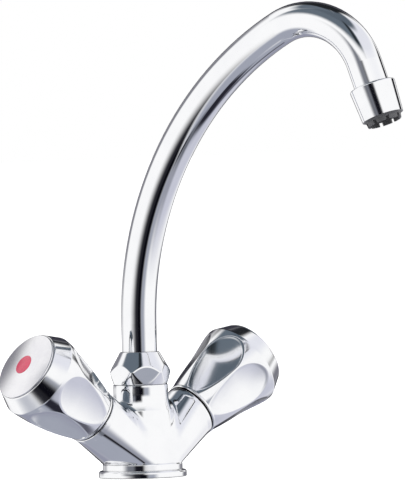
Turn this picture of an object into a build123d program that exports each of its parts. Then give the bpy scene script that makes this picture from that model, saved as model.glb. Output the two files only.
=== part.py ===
from build123d import *
from math import cos, radians, sin
import os

# Two-handle kitchen mixer for one deck hole, with a swinging swan-neck spout.
# Millimetres. +Z is up, the origin is the centre of the foot on the deck, -Y is the
# user's side, the hot arm points to -X and the cold arm to +X. The spout is drawn
# swung a little towards the cold side, and both handles are shut.

# ---------------------------------------------------------------- clearances
fit_gap = 0.05          # radial gap of screwed, pushed and running round fits
face_gap = 0.05         # gap between lapped or clamped flat faces
turn_gap = 0.5          # gap between parts that turn past each other
shadow_gap = 0.8        # open joint between an arm and its handle

# ---------------------------------------------------------------- foot and body
foot_lip_radius = 22.4
foot_lip_height = 3.4
foot_band_radius = 20.4
foot_height = 7.4
foot_round = 1.2
body_base_radius = 19.9
arm_root_radius = 19.7

arm_angle = 33.5        # rise of each arm above the deck
arm_cross_height = 11.0
arm_length = 38.2
arm_radius = 14.7
arm_rim_length = 3.0
neck_radius = 13.95
neck_top = 47.0
neck_root = 34.0
neck_flare = 1.6
neck_straight = 4.0             # plain length under the union nut

# ---------------------------------------------------------------- deck side
gasket_inner_radius = 16.8
gasket_width = 2.6
gasket_height = 2.0
inlet_spacing = 18.0
inlet_thread_minor = 8.92       # M10x1 hose tails
inlet_depth = 12.0
inlet_way_radius = 3.5
inlet_way_top = 16.5
stud_offset = 12.5
stud_thread_minor = 6.65        # M8 fixing stud
stud_depth = 14.0

# ---------------------------------------------------------------- headwork seats
headwork_bore = 18.7            # G1/2 thread at its minor diameter
seat_depth = 20.0
seat_way_radius = 4.5
seat_way_start = 7.0
chamber_radius = 10.8
chamber_start = 20.8
chamber_end = 29.8
collar_radius = 11.0
collar_height = 0.7
bonnet_gasket_height = 0.8

# ---------------------------------------------------------------- spout joint
spigot_radius = 12.0            # M24x1 thread for the union nut
spigot_height = 6.0
stub_radius = 9.15
stub_length = 14.5
stub_bore = 6.5
stub_groove_width = 2.2
stub_groove_floor = 7.4
stub_groove_steps = (2.5, 7.5)  # above the foot of the stub
stub_seal_section = 1.7
collar_spigot = 6.0             # length of the collar inside the tube
mixing_radius = 8.0
mixing_floor = 24.5
cross_way_height = 30.5
cross_way_radius = 3.4
cross_way_reach = 14.0
tube_radius = 9.0
tube_wall = 1.0
flange_radius = 11.4
flange_height = 2.6
slide_ring_height = 0.8
nut_height = 16.6
nut_flats = 28.0
nut_widest_height = 6.4
nut_widest_radius = 15.8
nut_turn = 27.5                 # a flat of the nut faces the user's right
nut_foot_radius = 13.6
nut_top_radius = 10.0
nut_lip = 6.4

# ---------------------------------------------------------------- spout path
spout_heading = -71.5           # plan direction of the spout as drawn
spout_rise = 21.5               # straight length above the collar
long_bend_radius = 168.0
long_bend_angle = 62.5
short_bend_radius = 35.1
short_bend_angle = 96.9
outlet_run = 16.7

# ---------------------------------------------------------------- aerator
sleeve_top_radius = 11.8
sleeve_foot_radius = 10.7
sleeve_length = 17.0
sleeve_round = 0.8
nipple_radius = 10.4            # M21 thread for the sleeve
nipple_length = 8.0
nipple_socket = 4.6             # how far the nipple covers the tube
nipple_wall = 1.8
aerator_gasket_height = 1.5
insert_radius = 9.85
insert_bore = 7.6
insert_flange_height = 1.5
insert_bevel = 1.0
lug_radius = 9.1
lug_foot_radius = 8.8
lug_count = 8
lug_gap = 1.8
lug_height = 2.0
rib_width = 0.8
rib_height = 1.8
screen_thickness = 0.5
screen_step = 1.2
screen_count = 3
screen_mesh = 2.4
screen_hole = 1.7
screen_rows = 5

# ---------------------------------------------------------------- headwork
skirt_radius = 8.9
skirt_bore = 7.6
bonnet_thread_radius = 9.25
hex_flats = 17.0
hex_height = 5.0
bonnet_neck_radius = 6.4
bonnet_neck_height = 6.2
seat_seal_height = 2.0
seat_seal_radius = 8.8
seat_seal_bore = 5.4
fixed_disc_radius = 7.5
fixed_disc_height = 2.9
ear_width = 3.0
ear_reach = 8.5
turning_disc_radius = 7.25
turning_disc_height = 3.4
port_inner_radius = 2.5
port_outer_radius = 6.2
port_half_angle = 38.0
drive_slot_width = 2.6
drive_slot_depth = 1.6
drive_length = 12.0
drive_gap = 0.15
window_width = 7.0
window_height = 4.4
spindle_radius = 4.25
spindle_flange_radius = 7.2
spindle_flange_height = 3.2
spindle_groove_radius = 3.2
spindle_groove_width = 1.5
spindle_groove_steps = (4.0, 8.0)  # above the spindle's flange
spindle_seal_section = 1.0
clip_height = 0.8
clip_groove_radius = 3.4
clip_radius = 5.6
clip_mouth = 4.6
spline_radius = 4.0
spline_teeth = 20
spline_depth = 0.4
screw_radius = 1.95             # M4 handle screw
screw_head_radius = 3.9
screw_head_height = 2.5
screw_reach = 9.0               # length of the screw inside the spindle
cross_recess_width = 1.0
cross_recess_length = 4.4
cross_recess_depth = 1.4

# ---------------------------------------------------------------- crown handle
handle_base_radius = 14.8
handle_lip_radius = 15.0
handle_lip_height = 1.3
handle_widest_radius = 22.8
handle_widest_height = 39.4
handle_top_radius = 18.9
handle_height = 48.0
handle_bulge = 1.6              # how far the grip's outline bows outwards
rim_round = 1.5
hollow_count = 6
hollow_radius = 24.0
hollow_floor_radius = 14.3      # radius of the hollows' floors at the handle's base
hollow_tilt = 4.5               # lean of the hollows' floors away from the axis
hollow_run_out = 17.3           # from where a hollow starts to run out to the widest ring
hot_ridge_angle = 19.0          # first ridge, above the user's side
cold_ridge_angle = -25.0
neck_room = 1.2                 # gap round the headwork's neck
adaptor_flats = 12.6
adaptor_height = 12.0
adaptor_wall = 1.6
web_height = 3.0
head_room = 0.7                 # gap round the screw's head
bowl_floor_radius = 8.0
bowl_radius = 14.6
bowl_step = 1.5
cap_seat_depth = 3.0
cap_seat_radius = 17.3

# ---------------------------------------------------------------- cap and index
cap_radius = 18.35
cap_edge = 0.9
cap_dome = 1.7
cap_plate = 1.3
cap_skirt_wall = 1.0
cap_skirt_height = 2.8
index_radius = 5.2
index_recess = 0.7
index_edge = 0.55
index_crown = 0.35

# ---------------------------------------------------------------- worked-out places
# height at which the body rises out of the foot
body_root = foot_height - foot_round

# heights above the deck in the spout joint
spigot_top = neck_top + spigot_height
flange_base = spigot_top + slide_ring_height + 2 * face_gap
flange_top = flange_base + flange_height
stub_foot = flange_base - stub_length
nut_base = neck_top + face_gap
nut_top = nut_base + nut_height
lip_base = nut_top - nut_lip
tube_foot = flange_top + face_gap

# distances along an arm, from where the two arms cross
seat_start = arm_length - seat_depth
bonnet_foot = seat_start + seat_seal_height + 2 * face_gap
fixed_disc_top = bonnet_foot + fixed_disc_height
turning_disc_foot = fixed_disc_top + face_gap
turning_disc_top = turning_disc_foot + turning_disc_height
spindle_flange_foot = turning_disc_top + face_gap
spindle_flange_top = spindle_flange_foot + spindle_flange_height
bonnet_ceiling = spindle_flange_top + turn_gap
collar_foot = arm_length - collar_height
collar_seat = collar_foot - bonnet_gasket_height - 2 * face_gap
hex_top = arm_length + hex_height
hex_corner = hex_flats / 2 / cos(radians(30))
bonnet_top = hex_top + bonnet_neck_height
clip_foot = bonnet_top + fit_gap
adaptor_foot = clip_foot + clip_height + 2 * fit_gap
adaptor_top = adaptor_foot + adaptor_height
spline_top = adaptor_top - adaptor_wall - face_gap
web_foot = adaptor_top + face_gap
web_top = web_foot + web_height
handle_foot = arm_length + shadow_gap
handle_top = handle_foot + handle_height
grip_foot = (handle_base_radius, handle_foot + handle_lip_height)
grip_top = (handle_widest_radius, handle_foot + handle_widest_height)
cap_foot = handle_top + face_gap
cap_shoulder = cap_foot + cap_edge
index_floor = cap_shoulder + cap_dome - index_recess

# distances along the outlet, from the mouth of the tube
sleeve_start = -nipple_socket
sleeve_end = sleeve_start + sleeve_length
nipple_end = nipple_length - nipple_socket
insert_start = nipple_end + aerator_gasket_height + 2 * face_gap
ledge_start = insert_start + insert_flange_height + face_gap

os.makedirs("parts", exist_ok=True)


def arm_plane(side):
    """Frame of one arm: its z axis runs out along the arm, its x axis to the user."""
    outward = Vector(side * cos(radians(arm_angle)), 0, sin(radians(arm_angle)))
    return Plane(origin=(0, 0, arm_cross_height), x_dir=(0, -1, 0), z_dir=outward)


def section_of(frame):
    """Plane through a frame's axis: its x is the radius and its y runs along the axis."""
    return Plane(origin=frame.origin, x_dir=frame.x_dir, z_dir=-frame.y_dir)


def axis_of(frame):
    return Axis(frame.origin, frame.z_dir)


# ================================================================ deck side and body
hot_arm = arm_plane(-1)
cold_arm = arm_plane(1)

with BuildPart() as base_gasket:
    with BuildSketch(Plane.XY):
        Circle(gasket_inner_radius + gasket_width - fit_gap)
        Circle(gasket_inner_radius + fit_gap, mode=Mode.SUBTRACT)
    extrude(amount=gasket_height - face_gap)
base_gasket.part.label = "base_gasket"
export_step(base_gasket.part, "parts/base_gasket.step")

with BuildPart() as faucet_body:
    # each half of the casting runs straight from the foot to the rim of an arm
    for arm in (hot_arm, cold_arm):
        with BuildSketch(Plane(origin=(0, 0, body_root), x_dir=arm.x_dir, z_dir=(0, 0, 1))):
            Circle(arm_root_radius)
        with BuildSketch(arm.offset(arm_length - arm_rim_length)):
            Circle(arm_radius)
        loft(ruled=True)
        with BuildSketch(arm.offset(arm_length - arm_rim_length)):
            Circle(arm_radius)
        extrude(amount=arm_rim_length)
    # neck with its flared root, and the threaded spigot on it
    with BuildSketch(Plane.XZ):
        with BuildLine():
            Polyline((0, body_root), (body_base_radius, body_root), (neck_radius + neck_flare, neck_root))
            Spline(
                (neck_radius + neck_flare, neck_root),
                (neck_radius, neck_top - neck_straight),
                tangents=((-0.35, 1), (0, 1)),
            )
            Polyline(
                (neck_radius, neck_top - neck_straight),
                (neck_radius, neck_top),
                (spigot_radius, neck_top),
            )
            Polyline((spigot_radius, neck_top), (spigot_radius, spigot_top), (0, spigot_top), (0, body_root))
        make_face()
    revolve(axis=Axis.Z)
    # foot: a lip on the deck and a rounded band above it
    with BuildSketch(Plane.XZ):
        with BuildLine():
            Polyline((0, 0), (foot_lip_radius, 0), (foot_lip_radius, foot_lip_height - foot_round))
            JernArc((foot_lip_radius, foot_lip_height - foot_round), (0, 1), foot_round, 90)
            Polyline(
                (foot_lip_radius - foot_round, foot_lip_height),
                (foot_band_radius, foot_lip_height),
                (foot_band_radius, foot_height - foot_round),
            )
            JernArc((foot_band_radius, foot_height - foot_round), (0, 1), foot_round, 90)
            Polyline((foot_band_radius - foot_round, foot_height), (0, foot_height), (0, 0))
        make_face()
    revolve(axis=Axis.Z)

    # threaded holes in the underside: two hose inlets and the fixing stud
    for inlet_x in (-inlet_spacing / 2, inlet_spacing / 2):
        with BuildSketch(Plane(origin=(inlet_x, 0, 0))):
            Circle(inlet_thread_minor / 2)
        extrude(amount=inlet_depth, mode=Mode.SUBTRACT)
        with BuildSketch(Plane(origin=(inlet_x, 0, inlet_depth))):
            Circle(inlet_way_radius)
        extrude(amount=inlet_way_top - inlet_depth, mode=Mode.SUBTRACT)
    with BuildSketch(Plane(origin=(0, stud_offset, 0))):
        Circle(stud_thread_minor / 2)
    extrude(amount=stud_depth, mode=Mode.SUBTRACT)
    with BuildSketch(Plane.XY):
        Circle(gasket_inner_radius + gasket_width)
        Circle(gasket_inner_radius, mode=Mode.SUBTRACT)
    extrude(amount=gasket_height, mode=Mode.SUBTRACT)
    # bore for each headwork, its water chamber and the way down to the inlet
    for arm in (hot_arm, cold_arm):
        with BuildSketch(section_of(arm)):
            with BuildLine():
                Polyline(
                    (0, seat_way_start),
                    (seat_way_radius, seat_way_start),
                    (seat_way_radius, seat_start),
                    (headwork_bore / 2, seat_start),
                    (headwork_bore / 2, chamber_start),
                    (chamber_radius, chamber_start),
                    (chamber_radius, chamber_end),
                    (headwork_bore / 2, chamber_end),
                    (headwork_bore / 2, collar_seat),
                    (collar_radius + fit_gap, collar_seat),
                    (collar_radius + fit_gap, arm_length),
                    (0, arm_length),
                    close=True,
                )
            make_face()
        revolve(axis=axis_of(arm), mode=Mode.SUBTRACT)
    # mixing chamber under the spout, fed by a way across both water chambers
    with BuildSketch(Plane.XZ):
        with BuildLine():
            Polyline(
                (0, mixing_floor),
                (mixing_radius, mixing_floor),
                (mixing_radius, stub_foot - turn_gap),
                (stub_radius + fit_gap, stub_foot - turn_gap),
                (stub_radius + fit_gap, spigot_top),
                (0, spigot_top),
                close=True,
            )
        make_face()
    revolve(axis=Axis.Z, mode=Mode.SUBTRACT)
    with BuildSketch(Plane.YZ):
        with Locations((0, cross_way_height)):
            Circle(cross_way_radius)
    extrude(amount=cross_way_reach, both=True, mode=Mode.SUBTRACT)
faucet_body.part.label = "faucet_body"
export_step(faucet_body.part, "parts/faucet_body.step")

# ================================================================ union nut
with BuildPart() as union_nut:
    with BuildSketch(Plane.XY.offset(nut_base)):
        RegularPolygon(nut_flats / 2, 6, major_radius=False, rotation=nut_turn)
    extrude(amount=nut_height)
    # both ends are turned: a long cone up to the tube and a short one to the neck
    with BuildSketch(Plane.XZ):
        with BuildLine():
            Polyline(
                (0, nut_base),
                (nut_foot_radius, nut_base),
                (nut_widest_radius, nut_base + nut_widest_height),
                (nut_top_radius, nut_top),
                (0, nut_top),
                close=True,
            )
        make_face()
    revolve(axis=Axis.Z, mode=Mode.INTERSECT)
    with BuildSketch(Plane.XZ):
        with BuildLine():
            Polyline(
                (0, nut_base),
                (spigot_radius + fit_gap, nut_base),
                (spigot_radius + fit_gap, lip_base),
                (tube_radius + fit_gap, lip_base),
                (tube_radius + fit_gap, nut_top),
                (0, nut_top),
                close=True,
            )
        make_face()
    revolve(axis=Axis.Z, mode=Mode.SUBTRACT)
union_nut.part.label = "union_nut"
export_step(union_nut.part, "parts/union_nut.step")

# ================================================================ spout
spout_direction = Vector(cos(radians(spout_heading)), sin(radians(spout_heading)), 0)
spout_section = Plane(origin=(0, 0, 0), x_dir=spout_direction, z_dir=spout_direction.cross(Vector(0, 0, 1)))

with BuildLine(spout_section) as spout_path:
    rise = Line((0, tube_foot), (0, tube_foot + spout_rise))
    long_bend = JernArc(rise @ 1, (0, 1), long_bend_radius, -long_bend_angle)
    short_bend = JernArc(long_bend @ 1, long_bend % 1, short_bend_radius, -short_bend_angle)
    outlet = Line(short_bend @ 1, (short_bend @ 1) + (short_bend % 1) * outlet_run)

tube_mouth = outlet @ 1
flow = outlet % 1
# frame of the outlet: its z axis is the way that the water leaves
outlet_frame = Plane(origin=tube_mouth, x_dir=flow.cross(Vector(spout_section.z_dir)), z_dir=flow)

with BuildPart() as spout_tube:
    with BuildSketch(Plane.XY.offset(tube_foot)):
        Circle(tube_radius)
        Circle(tube_radius - tube_wall, mode=Mode.SUBTRACT)
    sweep(path=spout_path.line)
spout_tube.part.label = "spout_tube"
export_step(spout_tube.part, "parts/spout_tube.step")

with BuildPart() as spout_collar:
    # stub in the body's neck, a flange held by the nut, and a spigot in the tube
    with BuildSketch(Plane.XZ):
        with BuildLine():
            Polyline(
                (stub_bore, stub_foot),
                (stub_radius, stub_foot),
                (stub_radius, flange_base),
                (flange_radius, flange_base),
                (flange_radius, flange_top),
                (tube_radius - tube_wall - fit_gap, flange_top),
                (tube_radius - tube_wall - fit_gap, flange_top + collar_spigot),
                (stub_bore, flange_top + collar_spigot),
                close=True,
            )
        make_face()
    revolve(axis=Axis.Z)
    for step in stub_groove_steps:
        with BuildSketch(Plane.XY.offset(stub_foot + step)):
            Circle(stub_radius)
            Circle(stub_groove_floor, mode=Mode.SUBTRACT)
        extrude(amount=stub_groove_width, mode=Mode.SUBTRACT)
spout_collar.part.label = "spout_collar"
export_step(spout_collar.part, "parts/spout_collar.step")

with BuildPart() as spout_seals:
    for step in stub_groove_steps:
        with BuildSketch(Plane.XZ):
            with Locations(
                (
                    stub_groove_floor + (stub_seal_section + fit_gap) / 2,
                    stub_foot + step + stub_groove_width / 2,
                )
            ):
                Circle(stub_seal_section / 2)
        revolve(axis=Axis.Z)
spout_seals.part.label = "spout_seals"
export_step(spout_seals.part, "parts/spout_seals.step")

for label, ring_base, ring_height in (
    ("lower_slide_ring", spigot_top + face_gap, slide_ring_height),
    ("upper_slide_ring", tube_foot, lip_base - tube_foot - face_gap),
):
    with BuildPart() as slide_ring:
        with BuildSketch(Plane.XY.offset(ring_base)):
            Circle(flange_radius)
            Circle(stub_radius + fit_gap, mode=Mode.SUBTRACT)
        extrude(amount=ring_height)
    slide_ring.part.label = label
    export_step(slide_ring.part, f"parts/{label}.step")

# ================================================================ aerator
with BuildPart() as aerator_nipple:
    # threaded bush brazed over the end of the tube
    with BuildSketch(section_of(outlet_frame)):
        with BuildLine():
            Polyline(
                (tube_radius + fit_gap, sleeve_start),
                (nipple_radius, sleeve_start),
                (nipple_radius, nipple_end),
                (nipple_radius - nipple_wall, nipple_end),
                (nipple_radius - nipple_wall, face_gap),
                (tube_radius + fit_gap, face_gap),
                close=True,
            )
        make_face()
    revolve(axis=axis_of(outlet_frame))
aerator_nipple.part.label = "aerator_nipple"
export_step(aerator_nipple.part, "parts/aerator_nipple.step")

with BuildPart() as aerator_gasket:
    with BuildSketch(outlet_frame.offset(nipple_end + face_gap)):
        Circle(nipple_radius - fit_gap)
        Circle(nipple_radius - nipple_wall, mode=Mode.SUBTRACT)
    extrude(amount=aerator_gasket_height)
aerator_gasket.part.label = "aerator_gasket"
export_step(aerator_gasket.part, "parts/aerator_gasket.step")

with BuildPart() as aerator_sleeve:
    # tapered outside, threaded bore, and a ledge near the mouth that holds the insert
    with BuildSketch(section_of(outlet_frame)):
        with BuildLine():
            Polyline(
                (nipple_radius + fit_gap, sleeve_start),
                (sleeve_top_radius, sleeve_start),
                (sleeve_foot_radius, sleeve_end),
                (insert_radius + fit_gap, sleeve_end),
                (insert_radius + fit_gap, ledge_start),
                (nipple_radius + fit_gap, ledge_start),
                close=True,
            )
        make_face()
    revolve(axis=axis_of(outlet_frame))
    rim = aerator_sleeve.edges().filter_by(GeomType.CIRCLE).sort_by(SortBy.RADIUS)[-1]
    fillet(rim, sleeve_round)
aerator_sleeve.part.label = "aerator_sleeve"
export_step(aerator_sleeve.part, "parts/aerator_sleeve.step")

with BuildPart() as aerator_insert:
    # flange on the ledge, barrel in the sleeve, and a ring of lugs below its mouth
    with BuildSketch(section_of(outlet_frame)):
        with BuildLine():
            Polyline(
                (insert_bore, insert_start),
                (nipple_radius - fit_gap, insert_start),
                (nipple_radius - fit_gap, insert_start + insert_flange_height),
                (insert_radius, insert_start + insert_flange_height),
                (insert_radius, sleeve_end),
                (lug_radius, sleeve_end + insert_bevel),
                (lug_foot_radius, sleeve_end + insert_bevel + lug_height),
                (insert_bore, sleeve_end + insert_bevel + lug_height),
                close=True,
            )
        make_face()
    revolve(axis=axis_of(outlet_frame))
    with BuildSketch(outlet_frame.offset(sleeve_end + insert_bevel)):
        with PolarLocations(lug_radius, lug_count):
            Rectangle(insert_bore, lug_gap)
    extrude(amount=lug_height, mode=Mode.SUBTRACT)
    with BuildSketch(outlet_frame.offset(sleeve_end - rib_height)):
        Rectangle(2 * insert_bore + rib_width, rib_width)
        Rectangle(rib_width, 2 * insert_bore + rib_width)
    extrude(amount=rib_height)
aerator_insert.part.label = "aerator_insert"
export_step(aerator_insert.part, "parts/aerator_insert.step")

with BuildPart() as aerator_screens:
    for layer in range(screen_count):
        with BuildSketch(outlet_frame.offset(insert_start + face_gap + layer * screen_step)):
            Circle(insert_bore - fit_gap)
            with GridLocations(screen_mesh, screen_mesh, screen_rows, screen_rows):
                Rectangle(screen_hole, screen_hole, mode=Mode.SUBTRACT)
        extrude(amount=screen_thickness)
aerator_screens.part.label = "aerator_screens"
export_step(aerator_screens.part, "parts/aerator_screens.step")

# ================================================================ cutter for the handles
tilt = radians(hollow_tilt)
hollow_foot = handle_lip_height + (handle_lip_radius - hollow_floor_radius) * sin(tilt)
hollow_turn_height = handle_widest_height - hollow_run_out
# its y axis runs up the floor of a hollow, its x axis points outwards
hollow_section = Plane(
    origin=(hollow_floor_radius, 0, 0),
    x_dir=(cos(tilt), 0, -sin(tilt)),
    z_dir=(0, -1, 0),
)

with BuildPart() as finger_hollow:
    # a round-nosed cylinder that leans away from the handle's axis, standing on its lip
    with BuildSketch(hollow_section):
        with BuildLine():
            Polyline((hollow_radius, hollow_foot), (0, hollow_foot), (0, hollow_turn_height))
            JernArc((0, hollow_turn_height), (0, 1), hollow_radius, -90)
            Line((hollow_radius, hollow_turn_height + hollow_radius), (hollow_radius, hollow_foot))
        make_face()
    revolve(axis=Axis(hollow_section.from_local_coords((hollow_radius, 0, 0)), hollow_section.y_dir))

# ================================================================ headworks and handles
cap_dome_radius = (cap_radius**2 + cap_dome**2) / (2 * cap_dome)
index_crown_radius = (index_radius**2 + index_crown**2) / (2 * index_crown)
index_edge_top = index_floor + face_gap + index_edge

with BuildSketch() as disc_port:
    # opening of a valve disc: a sector of a ring
    with BuildLine():
        inner = CenterArc((0, 0), port_inner_radius, -port_half_angle, 2 * port_half_angle)
        outer = CenterArc((0, 0), port_outer_radius, -port_half_angle, 2 * port_half_angle)
        Line(inner @ 0, outer @ 0)
        Line(inner @ 1, outer @ 1)
    make_face()

for name, arm, ridge in (("hot", hot_arm, hot_ridge_angle), ("cold", cold_arm, cold_ridge_angle)):
    section = section_of(arm)
    axis = axis_of(arm)

    with BuildPart() as seat_seal:
        with BuildSketch(arm.offset(seat_start + face_gap)):
            Circle(seat_seal_radius)
            Circle(seat_seal_bore, mode=Mode.SUBTRACT)
        extrude(amount=seat_seal_height)
    seat_seal.part.label = f"{name}_seat_seal"
    export_step(seat_seal.part, f"parts/{name}_seat_seal.step")

    with BuildPart() as bonnet_gasket:
        with BuildSketch(arm.offset(collar_seat + face_gap)):
            Circle(collar_radius)
            Circle(headwork_bore / 2, mode=Mode.SUBTRACT)
        extrude(amount=bonnet_gasket_height)
    bonnet_gasket.part.label = f"{name}_bonnet_gasket"
    export_step(bonnet_gasket.part, f"parts/{name}_bonnet_gasket.step")

    with BuildPart() as bonnet:
        # skirt round the discs, thread, collar on the arm's rim, hexagon and neck
        with BuildSketch(section):
            with BuildLine():
                Polyline(
                    (skirt_bore, bonnet_foot),
                    (skirt_radius, bonnet_foot),
                    (skirt_radius, chamber_end),
                    (bonnet_thread_radius, chamber_end),
                    (bonnet_thread_radius, collar_foot),
                    (collar_radius, collar_foot),
                    (collar_radius, arm_length),
                    (bonnet_neck_radius, arm_length),
                    (bonnet_neck_radius, bonnet_top),
                    (spindle_radius + fit_gap, bonnet_top),
                    (spindle_radius + fit_gap, bonnet_ceiling),
                    (skirt_bore, bonnet_ceiling),
                    close=True,
                )
            make_face()
        revolve(axis=axis)
        with BuildSketch(arm.offset(arm_length)):
            RegularPolygon(hex_flats / 2, 6, major_radius=False)
            Circle(spindle_radius + fit_gap, mode=Mode.SUBTRACT)
        extrude(amount=hex_height)
        with BuildSketch(section):
            with Locations((0, (turning_disc_foot + spindle_flange_top) / 2)):
                Rectangle(window_width, window_height)
        extrude(amount=skirt_radius, both=True, mode=Mode.SUBTRACT)
        with BuildSketch(arm.offset(bonnet_foot)):
            Rectangle(ear_width + 2 * drive_gap, 2 * skirt_radius)
        extrude(amount=fixed_disc_height, mode=Mode.SUBTRACT)
    bonnet.part.label = f"{name}_bonnet"
    export_step(bonnet.part, f"parts/{name}_bonnet.step")

    with BuildPart() as fixed_disc:
        with BuildSketch(arm.offset(bonnet_foot)):
            Circle(fixed_disc_radius)
            Rectangle(ear_width, 2 * ear_reach)
            with PolarLocations(0, 2):
                add(disc_port.sketch, mode=Mode.SUBTRACT)
        extrude(amount=fixed_disc_height)
    fixed_disc.part.label = f"{name}_fixed_disc"
    export_step(fixed_disc.part, f"parts/{name}_fixed_disc.step")

    with BuildPart() as turning_disc:
        # shut: its ports stand a quarter turn from those of the fixed disc
        with BuildSketch(arm.offset(turning_disc_foot)):
            Circle(turning_disc_radius)
            with PolarLocations(0, 2, start_angle=90):
                add(disc_port.sketch, mode=Mode.SUBTRACT)
        extrude(amount=turning_disc_height)
        with BuildSketch(arm.offset(turning_disc_top)):
            Rectangle(drive_length, drive_slot_width)
        extrude(amount=-drive_slot_depth, mode=Mode.SUBTRACT)
    turning_disc.part.label = f"{name}_turning_disc"
    export_step(turning_disc.part, f"parts/{name}_turning_disc.step")

    with BuildPart() as spindle:
        # flange with its drive bar, shaft with seal grooves, clip groove and splined end
        with BuildSketch(section):
            with BuildLine():
                Polyline(
                    (0, spindle_flange_foot),
                    (spindle_flange_radius, spindle_flange_foot),
                    (spindle_flange_radius, spindle_flange_top),
                    (spindle_radius, spindle_flange_top),
                    (spindle_radius, clip_foot),
                    (clip_groove_radius, clip_foot),
                    (clip_groove_radius, clip_foot + clip_height + fit_gap),
                    (spline_radius, clip_foot + clip_height + fit_gap),
                    (spline_radius, spline_top),
                    (0, spline_top),
                    close=True,
                )
            make_face()
        revolve(axis=axis)
        for step in spindle_groove_steps:
            with BuildSketch(arm.offset(spindle_flange_top + step)):
                Circle(spindle_radius)
                Circle(spindle_groove_radius, mode=Mode.SUBTRACT)
            extrude(amount=spindle_groove_width, mode=Mode.SUBTRACT)
        with BuildSketch(arm.offset(spindle_flange_foot)):
            Rectangle(drive_length - 2 * drive_gap, drive_slot_width - 2 * drive_gap)
        extrude(amount=-(drive_slot_depth - drive_gap))
        with BuildSketch(arm.offset(adaptor_foot)):
            with PolarLocations(spline_radius, spline_teeth):
                RegularPolygon(spline_depth, 4)
        extrude(amount=spline_top - adaptor_foot, mode=Mode.SUBTRACT)
        with BuildSketch(arm.offset(spline_top)):
            Circle(screw_radius + fit_gap)
        extrude(amount=-screw_reach - turn_gap, mode=Mode.SUBTRACT)
    spindle.part.label = f"{name}_spindle"
    export_step(spindle.part, f"parts/{name}_spindle.step")

    with BuildPart() as spindle_seals:
        for step in spindle_groove_steps:
            with BuildSketch(section):
                with Locations(
                    (
                        spindle_groove_radius + (spindle_seal_section + fit_gap) / 2,
                        spindle_flange_top + step + spindle_groove_width / 2,
                    )
                ):
                    Circle(spindle_seal_section / 2)
            revolve(axis=axis)
    spindle_seals.part.label = f"{name}_spindle_seals"
    export_step(spindle_seals.part, f"parts/{name}_spindle_seals.step")

    with BuildPart() as retaining_clip:
        with BuildSketch(arm.offset(clip_foot)):
            Circle(clip_radius)
            Circle(clip_groove_radius + fit_gap, mode=Mode.SUBTRACT)
            with Locations((clip_radius, 0)):
                Rectangle(clip_radius, clip_mouth, mode=Mode.SUBTRACT)
        extrude(amount=clip_height)
    retaining_clip.part.label = f"{name}_retaining_clip"
    export_step(retaining_clip.part, f"parts/{name}_retaining_clip.step")

    with BuildPart() as spline_adaptor:
        # six-sided bush between the splined spindle and the handle's socket
        with BuildSketch(arm.offset(adaptor_foot)):
            RegularPolygon(adaptor_flats / 2, 6, major_radius=False)
            Circle(spline_radius + fit_gap, mode=Mode.SUBTRACT)
        extrude(amount=adaptor_height - adaptor_wall)
        with BuildSketch(arm.offset(adaptor_top - adaptor_wall)):
            RegularPolygon(adaptor_flats / 2, 6, major_radius=False)
            Circle(screw_radius + fit_gap, mode=Mode.SUBTRACT)
        extrude(amount=adaptor_wall)
    spline_adaptor.part.label = f"{name}_spline_adaptor"
    export_step(spline_adaptor.part, f"parts/{name}_spline_adaptor.step")

    with BuildPart() as handle:
        # turned blank: lip, flared grip, rim cone, cap seat, bowl, web and neck cavity
        with BuildSketch(section):
            with BuildLine():
                Polyline(
                    (0, adaptor_foot),
                    (bonnet_neck_radius + neck_room, adaptor_foot),
                    (bonnet_neck_radius + neck_room, hex_top + shadow_gap),
                    (hex_corner + turn_gap, hex_top + shadow_gap),
                    (hex_corner + turn_gap, handle_foot),
                    (handle_lip_radius, handle_foot),
                    (handle_lip_radius, handle_foot + handle_lip_height),
                    grip_foot,
                )
                SagittaArc(grip_foot, grip_top, -handle_bulge)
                Polyline(
                    grip_top,
                    (handle_top_radius, handle_top),
                    (cap_seat_radius, handle_top),
                    (cap_seat_radius, handle_top - cap_seat_depth),
                    (bowl_radius, handle_top - cap_seat_depth),
                    (bowl_floor_radius, web_top + bowl_step),
                    (screw_head_radius + head_room, web_top + bowl_step),
                    (screw_head_radius + head_room, web_top),
                    (0, web_top),
                    (0, adaptor_foot),
                )
            make_face()
        revolve(axis=axis)
        widest = handle.edges().sort_by(SortBy.LENGTH)[-1]
        fillet(widest, rim_round)
        # six finger hollows round the grip
        with Locations(arm.offset(handle_foot)):
            with PolarLocations(0, hollow_count, start_angle=ridge + 180 / hollow_count):
                add(finger_hollow.part, mode=Mode.SUBTRACT)
        # socket of the adaptor and the screw's hole
        with BuildSketch(arm.offset(adaptor_foot)):
            RegularPolygon(adaptor_flats / 2 + fit_gap, 6, major_radius=False)
        extrude(amount=web_foot - adaptor_foot, mode=Mode.SUBTRACT)
        with BuildSketch(arm.offset(web_foot)):
            Circle(screw_radius + 2 * fit_gap)
        extrude(amount=web_height, mode=Mode.SUBTRACT)
    handle.part.label = f"{name}_handle"
    export_step(handle.part, f"parts/{name}_handle.step")

    with BuildPart() as handle_screw:
        with BuildSketch(arm.offset(spline_top - screw_reach)):
            Circle(screw_radius)
        extrude(amount=web_top + face_gap - spline_top + screw_reach)
        with BuildSketch(arm.offset(web_top + face_gap)):
            Circle(screw_head_radius)
        extrude(amount=screw_head_height)
        with BuildSketch(arm.offset(web_top + face_gap + screw_head_height)):
            Rectangle(cross_recess_length, cross_recess_width)
            Rectangle(cross_recess_width, cross_recess_length)
        extrude(amount=-cross_recess_depth, mode=Mode.SUBTRACT)
    handle_screw.part.label = f"{name}_handle_screw"
    export_step(handle_screw.part, f"parts/{name}_handle_screw.step")

    with BuildPart() as cap:
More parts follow.
